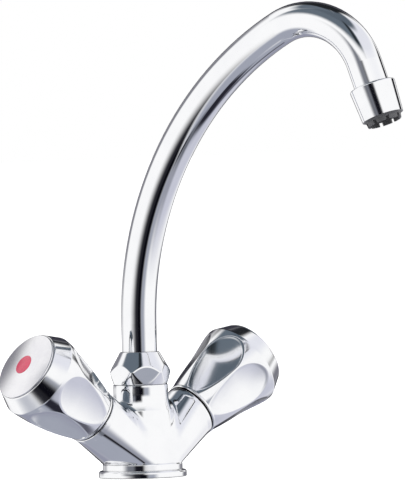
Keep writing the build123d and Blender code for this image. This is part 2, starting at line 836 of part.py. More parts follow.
        # domed plate on the handle's rim, with a skirt that snaps into its seat
        with BuildSketch(section):
            with BuildLine():
                Line((0, cap_shoulder - cap_plate), (0, cap_shoulder + cap_dome))
                RadiusArc((0, cap_shoulder + cap_dome), (cap_radius, cap_shoulder), cap_dome_radius)
                Polyline(
                    (cap_radius, cap_shoulder),
                    (cap_radius, cap_foot),
                    (cap_seat_radius - fit_gap, cap_foot),
                    (cap_seat_radius - fit_gap, cap_foot - cap_skirt_height),
                    (cap_seat_radius - cap_skirt_wall, cap_foot - cap_skirt_height),
                    (cap_seat_radius - cap_skirt_wall, cap_shoulder - cap_plate),
                    (0, cap_shoulder - cap_plate),
                )
            make_face()
        revolve(axis=axis)
        with BuildSketch(arm.offset(index_floor)):
            Circle(index_radius + fit_gap)
        extrude(amount=index_recess, mode=Mode.SUBTRACT)
    cap.part.label = f"{name}_cap"
    export_step(cap.part, f"parts/{name}_cap.step")

    with BuildPart() as index_dot:
        with BuildSketch(section):
            with BuildLine():
                Line((0, index_floor + face_gap), (0, index_edge_top + index_crown))
                RadiusArc(
                    (0, index_edge_top + index_crown),
                    (index_radius, index_edge_top),
                    index_crown_radius,
                )
                Polyline(
                    (index_radius, index_edge_top),
                    (index_radius, index_floor + face_gap),
                    (0, index_floor + face_gap),
                )
            make_face()
        revolve(axis=axis)
    index_dot.part.label = f"{name}_index_dot"
    export_step(index_dot.part, f"parts/{name}_index_dot.step")
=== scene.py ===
from math import atan, cos, pi, radians, sin, sqrt, tan

import bpy
import numpy as np
from mathutils import Matrix, Vector


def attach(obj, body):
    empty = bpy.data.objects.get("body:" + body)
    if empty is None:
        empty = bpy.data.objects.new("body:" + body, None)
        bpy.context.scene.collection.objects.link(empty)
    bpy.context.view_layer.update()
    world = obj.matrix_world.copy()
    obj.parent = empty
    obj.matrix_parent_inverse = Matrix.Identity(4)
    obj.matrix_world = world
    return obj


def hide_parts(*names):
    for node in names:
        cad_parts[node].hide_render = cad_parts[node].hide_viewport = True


# The looks of a two-handle kitchen mixer: polished chrome on a cast body, crown handles
# and a swan-neck spout. Sizes are written in millimetres and made metres by MM.

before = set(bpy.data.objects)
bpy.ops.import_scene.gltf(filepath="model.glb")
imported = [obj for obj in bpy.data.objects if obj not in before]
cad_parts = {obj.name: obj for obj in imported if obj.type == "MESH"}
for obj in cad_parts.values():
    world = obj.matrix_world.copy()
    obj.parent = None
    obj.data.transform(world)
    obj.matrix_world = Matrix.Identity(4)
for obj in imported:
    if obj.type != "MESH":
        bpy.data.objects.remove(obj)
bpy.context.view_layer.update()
scene = bpy.context.scene

MM = 0.001

# ------------------------------------------------------------------ sizes of the mixer
ARM_ANGLE = radians(33.5)
ARM_CROSS = 11.0
ARM_LENGTH = 38.2
ARM_RADIUS = 14.7
ARM_RIM = 3.0
ROOT_HEIGHT = 6.2
ARM_ROOT_RADIUS = 19.7
NECK_ROOT_RADIUS = 19.9
NECK_WAIST_RADIUS = 15.55
NECK_WAIST_HEIGHT = 34.0
NECK_RADIUS = 13.95
NECK_STRAIGHT = 43.0
NECK_CUT = 45.2
NECK_TOP = 47.0
SHADOW_GAP = 0.8
HANDLE_FOOT = ARM_LENGTH + SHADOW_GAP
HANDLE_HEIGHT = 48.0
HOT_RIDGE = radians(19.0)
COLD_RIDGE = radians(-25.0)


# ================================================================== modelling helpers
def deselect():
    bpy.ops.object.select_all(action="DESELECT")


def edit(piece):
    """Opens a piece alone in edit mode, with all of it selected."""
    deselect()
    piece.select_set(True)
    bpy.context.view_layer.objects.active = piece
    bpy.ops.object.mode_set(mode="EDIT")
    bpy.ops.mesh.select_all(action="SELECT")


def leave():
    bpy.ops.object.mode_set(mode="OBJECT")


def apply_place(piece, matrix):
    """Moves a piece into its place and puts that place in its mesh."""
    deselect()
    piece.select_set(True)
    bpy.context.view_layer.objects.active = piece
    piece.matrix_world = matrix
    bpy.ops.object.transform_apply(location=True, rotation=True, scale=True)


def smooth(piece, angle):
    deselect()
    piece.select_set(True)
    bpy.context.view_layer.objects.active = piece
    bpy.ops.object.shade_smooth_by_angle(angle=angle)


def points_of(piece):
    flat = np.empty(len(piece.data.vertices) * 3)
    piece.data.vertices.foreach_get("co", flat)
    return flat.reshape(-1, 3)


def set_points(piece, points):
    piece.data.vertices.foreach_set("co", points.astype(np.float32).ravel())
    piece.data.update()


def rounded(corners, steps=4):
    """Outline through corners (radius, height, round), each corner rounded by a small arc."""
    outline = []
    count = len(corners)
    for i, (x, y, r) in enumerate(corners):
        here = Vector((x, y))
        if r == 0 or i in (0, count - 1):
            outline.append((x, y))
            continue
        to_last = (Vector(corners[i - 1][:2]) - here).normalized()
        to_next = (Vector(corners[i + 1][:2]) - here).normalized()
        half = to_last.angle(to_next) / 2
        reach = r / tan(half)
        middle = here + (to_last + to_next).normalized() * (r / sin(half))
        start = here + to_last * reach - middle
        end = here + to_next * reach - middle
        sweep = start.angle_signed(end)
        for s in range(steps + 1):
            turned_by = -sweep * s / steps
            spoke = Matrix.Rotation(turned_by, 2) @ start
            outline.append((middle.x + spoke.x, middle.y + spoke.y))
    return outline


def divided(outline, step, low, high):
    """Puts more points on the runs of an outline that lie between two heights."""
    result = [outline[0]]
    for (xa, ya), (xb, yb) in zip(outline, outline[1:]):
        inside = low <= min(ya, yb) and max(ya, yb) <= high
        parts = max(1, round(sqrt((xb - xa) ** 2 + (yb - ya) ** 2) / step)) if inside else 1
        for i in range(1, parts + 1):
            result.append((xa + (xb - xa) * i / parts, ya + (yb - ya) * i / parts))
    return result


def turned(name, outline, steps):
    """A turned piece: an outline drawn edge after edge from one point, then spun round Z."""
    deselect()
    bpy.ops.mesh.primitive_plane_add(size=MM, location=(0, 0, 0))
    piece = bpy.context.object
    piece.name = name
    bpy.ops.object.mode_set(mode="EDIT")
    bpy.ops.mesh.select_all(action="SELECT")
    bpy.ops.mesh.merge(type="CENTER")
    bpy.ops.transform.translate(value=(outline[0][0] * MM, 0, outline[0][1] * MM))
    for (xa, ya), (xb, yb) in zip(outline, outline[1:]):
        bpy.ops.mesh.extrude_vertices_move(
            TRANSFORM_OT_translate={"value": ((xb - xa) * MM, 0, (yb - ya) * MM)}
        )
    bpy.ops.mesh.select_all(action="SELECT")
    bpy.ops.mesh.spin(steps=steps, angle=2 * pi, center=(0, 0, 0), axis=(0, 0, 1))
    bpy.ops.mesh.select_all(action="SELECT")
    bpy.ops.mesh.remove_doubles(threshold=0.002 * MM)
    bpy.ops.mesh.normals_make_consistent(inside=False)
    leave()
    return piece


def soft_least(a, b, k):
    """The lesser of two distances, with the corner between them rounded over k."""
    h = np.clip(0.5 + 0.5 * (b - a) / k, 0, 1)
    return b * (1 - h) + a * h - k * h * (1 - h)


def arm_frame(side):
    """Place of an arm: its z axis runs out along the arm and its x axis to the user."""
    out = Vector((side * cos(ARM_ANGLE), 0, sin(ARM_ANGLE)))
    to_user = Vector((0, -1, 0))
    across = out.cross(to_user)
    place = Matrix((to_user, across, out)).transposed().to_4x4()
    return Matrix.Translation((0, 0, ARM_CROSS * MM)) @ place


# ================================================================== material helpers
def new_tree(owner):
    """The empty node tree of a material or a world."""
    owner.use_nodes = True
    tree = owner.node_tree
    tree.nodes.clear()
    return tree


def add(tree, kind, place=(0, 0), **settings):
    node = tree.nodes.new(kind)
    node.location = place
    for key, value in settings.items():
        setattr(node, key, value)
    return node


def join(tree, source, target):
    tree.links.new(source, target)


def reckon(tree, operation, place, *values, clamp=False):
    """A Math node of plain numbers and sockets, as the socket that it puts out."""
    node = add(tree, "ShaderNodeMath", place, operation=operation, use_clamp=clamp)
    for i, value in enumerate(values):
        if isinstance(value, (int, float)):
            node.inputs[i].default_value = value
        else:
            join(tree, value, node.inputs[i])
    return node.outputs[0]


def noise(tree, place, vector, scale=None, detail=None):
    """A Noise Texture, with its scale as a number or a socket."""
    node = add(tree, "ShaderNodeTexNoise", place)
    join(tree, vector, node.inputs["Vector"])
    if isinstance(scale, (int, float)):
        node.inputs["Scale"].default_value = scale
    elif scale is not None:
        join(tree, scale, node.inputs["Scale"])
    if detail is not None:
        node.inputs["Detail"].default_value = detail
    return node


def remap(tree, place, value, **limits):
    """A Map Range node, as the socket that it puts out."""
    node = add(tree, "ShaderNodeMapRange", place)
    for label, limit in limits.items():
        node.inputs[label.replace("_", " ").title()].default_value = limit
    join(tree, value, node.inputs["Value"])
    return node.outputs["Result"]


def new_group(name, inputs, outputs):
    """A node group with named inputs (label, kind, default) and outputs that are numbers."""
    group = bpy.data.node_groups.new(name, "ShaderNodeTree")
    for label, kind, default in inputs:
        socket = group.interface.new_socket(
            label, in_out="INPUT", socket_type=f"NodeSocket{kind}")
        if default is not None:
            socket.default_value = default
    for label in outputs:
        group.interface.new_socket(label, in_out="OUTPUT", socket_type="NodeSocketFloat")
    return group, add(group, "NodeGroupInput", (-900, 0)), add(group, "NodeGroupOutput", (700, 0))


# ------------------------------------------------------------------ shared effects
def make_polish_group():
    """Fine life of a plated surface: buffing marks, wiping haze, specks and a faint wave."""
    group, given, result = new_group("polish", (
        ("Vector", "Vector", None),
        ("Haze scale", "Float", 60.0),
        ("Haze amount", "Float", 0.03),
        ("Base roughness", "Float", 0.04),
        ("Wave scale", "Float", 40.0),
        ("Wave height", "Float", 0.3),
        ("Speck amount", "Float", 0.1),
    ), ("Roughness", "Height", "Dulling"))
    where = given.outputs["Vector"]

    haze = noise(group, (-600, 200), where, given.outputs["Haze scale"], detail=5.0)
    haze.inputs["Roughness"].default_value = 0.6
    haze_mask = remap(group, (-380, 200), haze.outputs["Fac"], from_min=0.45, from_max=0.8)
    haze_share = reckon(group, "MULTIPLY", (-160, 200), haze_mask, given.outputs["Haze amount"])

    specks = add(group, "ShaderNodeTexVoronoi", (-600, -60), feature="DISTANCE_TO_EDGE")
    specks.inputs["Scale"].default_value = 900.0
    join(group, where, specks.inputs["Vector"])
    speck_mask = remap(group, (-380, -60), specks.outputs["Distance"], from_min=0.42, from_max=0.5)
    speck_share = reckon(group, "MULTIPLY", (-160, -60), speck_mask,
                         given.outputs["Speck amount"])

    marks = noise(group, (-600, -300), where, scale=1400.0, detail=2.0)
    mark_share = reckon(group, "MULTIPLY", (-160, -300), marks.outputs["Fac"], 0.02)

    wave = noise(group, (-600, -540), where, given.outputs["Wave scale"], detail=1.0)
    height = reckon(group, "MULTIPLY", (-160, -540), wave.outputs["Fac"],
                    given.outputs["Wave height"])

    rough = reckon(group, "ADD", (60, 160), given.outputs["Base roughness"], haze_share)
    rough = reckon(group, "ADD", (240, 120), rough, mark_share)
    rough = reckon(group, "ADD", (420, 100), rough, speck_share, clamp=True)
    dulling = reckon(group, "MAXIMUM", (240, -80), haze_mask, speck_mask)
    join(group, rough, result.inputs["Roughness"])
    join(group, height, result.inputs["Height"])
    join(group, dulling, result.inputs["Dulling"])
    return group


def make_rings_group():
    """Fine turned rings about the piece's upright axis."""
    group, given, result = new_group("turned rings", (
        ("Vector", "Vector", None),
        ("Scale", "Vector", (60.0, 60.0, 9000.0)),
    ), ("Height",))
    stretch = add(group, "ShaderNodeMapping", (-450, 0))
    join(group, given.outputs["Vector"], stretch.inputs["Vector"])
    join(group, given.outputs["Scale"], stretch.inputs["Scale"])
    rings = noise(group, (-200, 0), stretch.outputs["Vector"], detail=3.0)
    join(group, rings.outputs["Fac"], result.inputs["Height"])
    return group


def make_moulding_group():
    """Cloudy mottling, the uneven gloss that follows it, and a fine grain."""
    group, given, result = new_group("moulding", (
        ("Vector", "Vector", None),
        ("Mottle scale", "Float", 120.0),
        ("Least roughness", "Float", 0.3),
        ("Most roughness", "Float", 0.4),
    ), ("Mottle", "Roughness", "Grain"))
    mottle = noise(group, (-500, 200), given.outputs["Vector"], given.outputs["Mottle scale"],
                   detail=6.0)
    gloss = add(group, "ShaderNodeMapRange", (100, -50))
    join(group, given.outputs["Least roughness"], gloss.inputs["To Min"])
    join(group, given.outputs["Most roughness"], gloss.inputs["To Max"])
    join(group, mottle.outputs["Fac"], gloss.inputs["Value"])
    grain = noise(group, (-500, -300), given.outputs["Vector"], scale=900.0, detail=4.0)
    join(group, mottle.outputs["Fac"], result.inputs["Mottle"])
    join(group, gloss.outputs["Result"], result.inputs["Roughness"])
    join(group, grain.outputs["Fac"], result.inputs["Grain"])
    return group


POLISH = make_polish_group()
RINGS = make_rings_group()
MOULDING = make_moulding_group()
WAVE_DEPTH = 0.02 * MM
GLOSS_SPREAD = 0.1
# near-black of the painted shade that the chromes get in their joints and gaps
PAINTED_SHADE_BLACK = (0.012, 0.012, 0.016)


def principled(name):
    """A new material with a Principled shader, and its Object coordinates."""
    material = bpy.data.materials.new(name)
    tree = new_tree(material)
    out = add(tree, "ShaderNodeOutputMaterial", (900, 0))
    shader = add(tree, "ShaderNodeBsdfPrincipled", (600, 0))
    join(tree, shader.outputs["BSDF"], out.inputs["Surface"])
    where = add(tree, "ShaderNodeTexCoord", (-900, 0))
    return material, tree, shader, where.outputs["Object"]


def effect(tree, group, place, vector, **values):
    """One of the shared effects, placed in a material with its own values."""
    node = add(tree, "ShaderNodeGroup", place, node_tree=group)
    for label, value in values.items():
        node.inputs[label.replace("_", " ").capitalize()].default_value = value
    join(tree, vector, node.inputs["Vector"])
    return node


def mixed(tree, place, share, first, second):
    """A colour between two, each a plain colour or a socket."""
    node = add(tree, "ShaderNodeMix", place, data_type="RGBA")
    for label, colour in (("A", first), ("B", second)):
        if isinstance(colour, tuple):
            node.inputs[label].default_value = (*colour, 1)
        else:
            join(tree, colour, node.inputs[label])
    join(tree, share, node.inputs["Factor"])
    return node.outputs["Result"]


def metal(name, bright, dull, roughness, haze=0.03, haze_scale=60.0, wave=0.3, wave_scale=40.0,
          speck=0.1, grain=None, grain_depth=0.0, shade_reach=0.0):
    """Metal whose colour and gloss vary with the polish group; grain adds turned rings, and the
    last argument is how far from a joint the colour is darkened with painted shade."""
    material, tree, shader, where = principled(name)
    shader.inputs["Metallic"].default_value = 1.0
    polish = effect(tree, POLISH, (-500, 0), where, haze_scale=haze_scale, haze_amount=haze,
                    base_roughness=roughness, wave_scale=wave_scale, wave_height=wave,
                    speck_amount=speck)
    colour = mixed(tree, (100, 200), polish.outputs["Dulling"], bright, dull)
    # painted shade: Ambient Occlusion darkens the colour towards near-black at joints, gaps and
    # other close corners
    if shade_reach:
        open_share = add(tree, "ShaderNodeAmbientOcclusion", (-200, 500), samples=8)
        open_share.inputs["Distance"].default_value = shade_reach
        openness = remap(tree, (60, 500), open_share.outputs["AO"], from_min=0.3, from_max=0.8)
        colour = mixed(tree, (320, 300), openness, PAINTED_SHADE_BLACK, colour)
    join(tree, colour, shader.inputs["Base Color"])
    join(tree, polish.outputs["Roughness"], shader.inputs["Roughness"])
    bump = add(tree, "ShaderNodeBump", (300, -300))
    bump.inputs["Strength"].default_value = 1.0
    bump.inputs["Distance"].default_value = WAVE_DEPTH
    join(tree, polish.outputs["Height"], bump.inputs["Height"])
    if grain is not None:
        rings = effect(tree, RINGS, (-200, -500), where, scale=grain)
        fine = add(tree, "ShaderNodeBump", (100, -500))
        fine.inputs["Distance"].default_value = grain_depth
        join(tree, rings.outputs["Height"], fine.inputs["Height"])
        join(tree, fine.outputs["Normal"], bump.inputs["Normal"])
    join(tree, bump.outputs["Normal"], shader.inputs["Normal"])
    return material


def moulded(name, colour, shade, roughness, grain_depth=0.01 * MM, coat=0.0, mottle_scale=120.0):
    """Moulded, pressed or fired stuff: colour mottling, uneven gloss and a fine grain."""
    material, tree, shader, where = principled(name)
    shader.inputs["Coat Weight"].default_value = coat
    shader.inputs["Coat Roughness"].default_value = 0.04
    skin = effect(tree, MOULDING, (-500, 0), where, mottle_scale=mottle_scale,
                  least_roughness=max(0.02, roughness - GLOSS_SPREAD / 2),
                  most_roughness=roughness + GLOSS_SPREAD / 2)
    join(tree, mixed(tree, (100, 200), skin.outputs["Mottle"], colour, shade),
         shader.inputs["Base Color"])
    join(tree, skin.outputs["Roughness"], shader.inputs["Roughness"])
    bump = add(tree, "ShaderNodeBump", (300, -300))
    bump.inputs["Distance"].default_value = grain_depth
    join(tree, skin.outputs["Grain"], bump.inputs["Height"])
    join(tree, bump.outputs["Normal"], shader.inputs["Normal"])
    return material


# ------------------------------------------------------------------ finishes
CHROME_BRIGHT = (0.95, 0.953, 0.965)
CHROME_DULL = (0.90, 0.905, 0.925)
# reach of the painted shade at joints and gaps, given to four of the chromes
PAINTED_SHADE_REACH = 1.3 * MM
tube_chrome = metal("chrome on drawn tube", CHROME_BRIGHT, CHROME_DULL, 0.035, haze=0.02,
                    haze_scale=45.0, wave=0.4, wave_scale=25.0, shade_reach=PAINTED_SHADE_REACH)
cast_chrome = metal("chrome on polished casting", CHROME_BRIGHT, CHROME_DULL, 0.045, haze=0.025,
                    haze_scale=60.0, wave=0.8, wave_scale=50.0, shade_reach=PAINTED_SHADE_REACH)
handle_chrome = metal("chrome on handle", CHROME_BRIGHT, CHROME_DULL, 0.085, haze=0.025,
                      haze_scale=80.0, wave=0.6, wave_scale=60.0, shade_reach=PAINTED_SHADE_REACH)
nut_chrome = metal("chrome on turned nut", CHROME_BRIGHT, CHROME_DULL, 0.05, haze=0.03,
                   haze_scale=110.0, wave=0.2, wave_scale=90.0,
                   grain=(60, 60, 9000), grain_depth=0.002 * MM, shade_reach=PAINTED_SHADE_REACH)
cap_chrome = metal("satin chrome on cap", (0.93, 0.925, 0.94), (0.84, 0.83, 0.87), 0.16,
                   haze=0.06, haze_scale=60.0, wave=0.2, speck=0.05)
turned_brass = metal("turned brass", (0.80, 0.62, 0.30), (0.58, 0.42, 0.20), 0.22, haze=0.15,
                     haze_scale=140.0, wave=0.2, grain=(400, 400, 12000), grain_depth=0.01 * MM)
spring_steel = metal("spring steel", (0.62, 0.63, 0.65), (0.45, 0.45, 0.46), 0.25, haze=0.12)
steel_mesh = metal("woven steel", (0.58, 0.59, 0.60), (0.35, 0.35, 0.35), 0.3, haze=0.2,
                   haze_scale=400.0)
black_rubber = moulded("black rubber", (0.030, 0.030, 0.033), (0.060, 0.058, 0.057), 0.55,
                       grain_depth=0.03 * MM)
dark_plastic = moulded("dark moulded plastic", (0.055, 0.056, 0.060), (0.10, 0.10, 0.105), 0.32)
white_plastic = moulded("white slide plastic", (0.83, 0.83, 0.80), (0.76, 0.76, 0.73), 0.35)
ceramic = moulded("lapped ceramic", (0.90, 0.89, 0.86), (0.84, 0.83, 0.80), 0.12, coat=0.4)
red_plastic = moulded("red index plastic", (0.66, 0.050, 0.115), (0.56, 0.035, 0.085), 0.2,
                      coat=0.6, mottle_scale=260.0)
blue_plastic = moulded("blue index plastic", (0.035, 0.16, 0.58), (0.025, 0.11, 0.45), 0.2,
                       coat=0.6, mottle_scale=260.0)


# ================================================================== crown handles
def bowed(foot, top, bulge, parts):
    """Points of an outline that bows outwards between two points."""
    a, b = Vector(foot), Vector(top)
    run = b - a
    out = Vector((run.y, -run.x)).normalized()
    half = run.length / 2
    radius = (half**2 + bulge**2) / (2 * bulge)
    middle = (a + b) / 2 - out * (radius - bulge)
    start = a - middle
    sweep = start.angle_signed(b - middle)
    points = []
    for i in range(parts + 1):
        spoke = Matrix.Rotation(-sweep * i / parts, 2) @ start
        points.append((middle.x + spoke.x, middle.y + spoke.y))
    return points


GRIP_FOOT = (14.8, 1.3)
GRIP_TOP = (22.8, 39.4)
GRIP_BULGE = 1.6
HOLLOW_RADIUS = 24.0
HOLLOW_FLOOR = 14.3
HOLLOW_LEAN = radians(4.5)
HOLLOW_TURN = 22.1
HOLLOW_COUNT = 6
EDGE_ROUND = 0.55
NO_WALL = 60.0  # further out than any of the grip
HOLLOW_CALM = 0.6  # share of the turn towards the floor's shading
CALM_DEPTH = 1.2  # how deep a hollow has to be for all of that share
CAP_RADIUS = 18.35
CAP_RISE = 1.7
CAP_EDGE = 0.9
DOT_RADIUS = 5.25
CAP_CLEARANCE = 0.05


def milled_hollows(points, first_ridge):
    """Pulls the grip in to six round-nosed hollows with softened edges. Gives the new points and
    how deep each one was pulled in."""
    x, y, z = points.T / MM
    radius = np.hypot(x, y)
    step = 2 * pi / HOLLOW_COUNT
    from_ridge = (np.arctan2(y, x) - first_ridge + step / 2) % step - step / 2
    off = step / 2 - np.abs(from_ridge)
    centre = HOLLOW_FLOOR + HOLLOW_RADIUS / cos(HOLLOW_LEAN) + z * tan(HOLLOW_LEAN)
    past = np.clip(z - HOLLOW_TURN, 0, None)
    reach = np.sqrt(np.clip(HOLLOW_RADIUS**2 - past**2, 1e-6, None))
    inside = reach**2 - (centre * np.sin(off)) ** 2
    wall = centre * np.cos(off) - np.sqrt(np.clip(inside, 0, None))
    wall = np.where(inside > 0, wall, NO_WALL)
    grip = (z > GRIP_FOOT[1] + 0.02) & (radius > GRIP_FOOT[0] - 0.05)
    cut = np.where(grip, soft_least(radius, wall, EDGE_ROUND), radius)
    share = cut / np.maximum(radius, 1e-9)
    return np.stack((x * share, y * share, z), axis=1) * MM, radius - cut


def calm_hollows(piece, place, first_ridge, depth):
    """Turns the shading of each hollow towards that of its floor, flatter than its mesh is."""
    mesh = piece.data
    axes = np.array(place.to_3x3())
    local = (points_of(piece) - np.array(place.translation)) @ axes
    step = 2 * pi / HOLLOW_COUNT
    angle = np.arctan2(local[:, 1], local[:, 0]) - first_ridge
    floor_angle = (np.floor(angle / step) + 0.5) * step + first_ridge
    floor = np.stack((np.cos(floor_angle) * cos(HOLLOW_LEAN),
                      np.sin(floor_angle) * cos(HOLLOW_LEAN),
                      np.full(len(local), -sin(HOLLOW_LEAN))), axis=1) @ axes.T
    share = HOLLOW_CALM * np.clip(depth / CALM_DEPTH, 0, 1)[:, None]
    corners = np.empty(len(mesh.loops), dtype=np.int32)
    mesh.loops.foreach_get("vertex_index", corners)
    normals = np.empty(len(mesh.loops) * 3, dtype=np.float32)
    mesh.corner_normals.foreach_get("vector", normals)
    normals = normals.reshape(-1, 3)
    normals = normals * (1 - share[corners]) + floor[corners] * share[corners]
    normals /= np.linalg.norm(normals, axis=1, keepdims=True)
    mesh.normals_split_custom_set(normals.tolist())


def make_handle(word, side, ridge):
    """Hollow crown handle: a turned blank with six hollows milled in its grip."""
    outer = rounded([(10.3, 0.0, 0), (15.0, 0.0, 0.55), (15.0, 1.3, 0.1), GRIP_FOOT + (0,)])
    grip = bowed(GRIP_FOOT, GRIP_TOP, GRIP_BULGE, 96)
    seat = HANDLE_HEIGHT - 3.0
    crown = rounded([grip[-4] + (0,), GRIP_TOP + (1.6,), (18.9, HANDLE_HEIGHT, 0.5),
                     (17.3, HANDLE_HEIGHT, 0.25), (17.3, seat, 0)], steps=6)
    crown = divided(crown, 0.5, GRIP_TOP[1] - 3, HANDLE_HEIGHT)
    inner = [(14.6, seat), (8.0, 27.9), (4.6, 27.9), (4.6, 26.4), (2.05, 26.4), (2.05, 23.4),
             (7.35, 23.4), (7.35, 11.35), (7.6, 11.35), (7.6, 5.0), (10.3, 5.0), (10.3, 0.0)]
    blank = outer[:-1] + grip[:-4] + crown + inner
    piece = turned(f"{word}_crown_handle", blank, steps=240)
    points, depth = milled_hollows(points_of(piece), ridge)
    set_points(piece, points)
    apply_place(piece, arm_frame(side) @ Matrix.Translation((0, 0, HANDLE_FOOT * MM)))
    smooth(piece, radians(40))
    calm_hollows(piece, arm_frame(side), ridge, depth)
    piece.data.materials.append(handle_chrome)
    return piece


def make_cap(word, side):
    """Domed cap plate with a softened edge and a seat for the index."""
    dome = []
    sphere = (CAP_RADIUS**2 + CAP_RISE**2) / (2 * CAP_RISE)
    for i in range(25):
        r = DOT_RADIUS + (17.75 - DOT_RADIUS) * i / 24
        dome.append((r, CAP_EDGE + CAP_RISE - sphere + sqrt(sphere**2 - r**2)))
    edge = rounded([dome[-1] + (0,), (CAP_RADIUS, 0.93, 0.45), (CAP_RADIUS, 0.0, 0.2),
                    (17.25, 0.0, 0)], 5)
    outline = [(0, 1.9), (DOT_RADIUS, 1.9)] + dome + edge[1:] + [
        (17.25, -2.8), (16.3, -2.8), (16.3, -0.4), (0, -0.4)]
    piece = turned(f"{word}_handle_cap", outline, steps=192)
    foot = HANDLE_FOOT + HANDLE_HEIGHT + CAP_CLEARANCE
    apply_place(piece, arm_frame(side) @ Matrix.Translation((0, 0, foot * MM)))
    smooth(piece, radians(30))
    piece.data.materials.append(cap_chrome)
    return piece


for word, side, ridge in (("hot", -1, HOT_RIDGE), ("cold", 1, COLD_RIDGE)):
    handle = make_handle(word, side, ridge)
    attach(handle, f"{word}_control")
    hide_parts(f"{word}_handle")
    cap = make_cap(word, side)
    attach(cap, f"{word}_control")
    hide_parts(f"{word}_cap")


# ================================================================== union nut
NUT_BASE = 47.05
NUT_FLAT = 14.0
NUT_FACETS = 6
NUT_TURN = radians(35.0)  # bearing of a corner
NUT_EDGE_ROUND = 0.35
NUT_BORE_LIMIT = 12.6  # nearer the axis than this is bore, which stays round


def make_nut():
    """Six-sided nut between two turned cones, all its edges softened."""
    outline = rounded([(12.05, 0, 0), (13.6, 0, 0.3), (15.8, 6.4, 0.5), (10.0, 16.6, 0.4),
                       (9.05, 16.6, 0.2), (9.05, 10.2, 0), (12.05, 10.2, 0), (12.05, 0, 0)])
    outline = divided(outline, 0.4, 0.1, 16.5)
    piece = turned("spout_union_nut", outline, steps=240)
    points = points_of(piece)
    x, y, z = points.T / MM
    radius = np.hypot(x, y)
    step = 2 * pi / NUT_FACETS
    off = (np.arctan2(y, x) - NUT_TURN) % step - step / 2
    flat = NUT_FLAT / np.cos(off)
    shaped = np.where(radius > NUT_BORE_LIMIT, soft_least(radius, flat, NUT_EDGE_ROUND), radius)
    share = shaped / radius
    set_points(piece, np.stack((x * share, y * share, z + NUT_BASE), axis=1) * MM)
    smooth(piece, radians(40))
    piece.data.materials.append(nut_chrome)
    return piece


nut = make_nut()
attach(nut, "body")
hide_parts("union_nut")


# ================================================================== body casting
VOXEL = 0.55
VALLEY_ROUND = 3.4
FOOT_ROUND = 0.8  # the valleys' rounding down at the foot
SETTLE_ROUNDS = 8
SETTLE_REACH = 1.5
HEADWORK_SEAT = 11.05
HEADWORK_BORE = 9.35
WATER_WAY = 4.5


def neck_distance(p):
    """Signed distance, near enough, from the neck with its waist and its wide root."""
    radius = np.hypot(p[:, 0], p[:, 1])
    z = p[:, 2]
    slope = (NECK_ROOT_RADIUS - NECK_WAIST_RADIUS) / (NECK_WAIST_HEIGHT - ROOT_HEIGHT)
    cone = NECK_ROOT_RADIUS - slope * (z - ROOT_HEIGHT)
    t = np.clip((z - NECK_WAIST_HEIGHT) / (NECK_STRAIGHT - NECK_WAIST_HEIGHT), 0, 1)
    ease = 1 - (1 - t) ** 2
    waist = NECK_WAIST_RADIUS - (NECK_WAIST_RADIUS - NECK_RADIUS) * ease
    surface = np.where(z < NECK_WAIST_HEIGHT, cone, waist)
    return (radius - surface) * cos(atan(slope))


def arm_distance(p, side):
    """The same from one arm, which runs straight from the round root to its rim."""
    out = np.array((side * cos(ARM_ANGLE), sin(ARM_ANGLE)))
    across = np.array((sin(ARM_ANGLE), -side * cos(ARM_ANGLE)))
    low_centre = np.array((0.0, ROOT_HEIGHT))
    high_centre = np.array((0.0, ARM_CROSS)) + out * (ARM_LENGTH - ARM_RIM)
    low_axis = np.array((1.0, 0.0)) * ARM_ROOT_RADIUS
    high_axis = across * ARM_RADIUS
    q = p[:, (0, 2)] - low_centre
    run = high_centre - low_centre
    turn = high_axis - low_axis
    # the section through a point solves  cross(q - s run, low_axis + s turn) = 0
    def cross(u, v):
        return u[..., 0] * v[..., 1] - u[..., 1] * v[..., 0]
    c0 = cross(q, low_axis)
    c1 = cross(q, turn) - cross(run, low_axis)
    c2 = -cross(run, turn)
    root = np.sqrt(np.clip(c1**2 - 4 * c2 * c0, 0, None))
    near = np.full(len(p), 9e9)
    for sign in (-1, 1):
        s = (-c1 + sign * root) / (2 * c2)
        near = np.where(np.abs(s - 0.5) < np.abs(near - 0.5), s, near)
    s = np.clip(near, -0.2, 1.0)
    centre = low_centre + s[:, None] * run
    axis = low_axis + s[:, None] * turn
    size = np.hypot(axis[:, 0], axis[:, 1])
    width = ARM_ROOT_RADIUS + s * (ARM_RADIUS - ARM_ROOT_RADIUS)
    d = p[:, (0, 2)] - centre
    along = (d * axis).sum(1) / size
    loft = (np.hypot(along / size, p[:, 1] / width) - 1) * np.minimum(size, width)
    # past the last section the arm is a plain cylinder
    rel = p[:, (0, 2)] - np.array((0.0, ARM_CROSS))
    t = rel @ out
    side_off = rel @ across
    rim = np.hypot(side_off, p[:, 1]) - ARM_RADIUS
    return np.where(t > ARM_LENGTH - ARM_RIM, rim, loft)


def casting_distance(p):
    """Signed distance, near enough, from the skin of the whole casting."""
    z = p[:, 2]
    k = FOOT_ROUND + (VALLEY_ROUND - FOOT_ROUND) * np.clip((z - 8) / 16, 0, 1)
    arms = soft_least(arm_distance(p, -1), arm_distance(p, 1), k)
    return soft_least(arms, neck_distance(p), k)


def casting_slope(p):
    """Direction in which that distance grows."""
    h = 0.02
    slope = np.empty_like(p)
    for axis in range(3):
        d = np.zeros(3)
        d[axis] = h
        slope[:, axis] = (casting_distance(p + d) - casting_distance(p - d)) / (2 * h)
    return slope


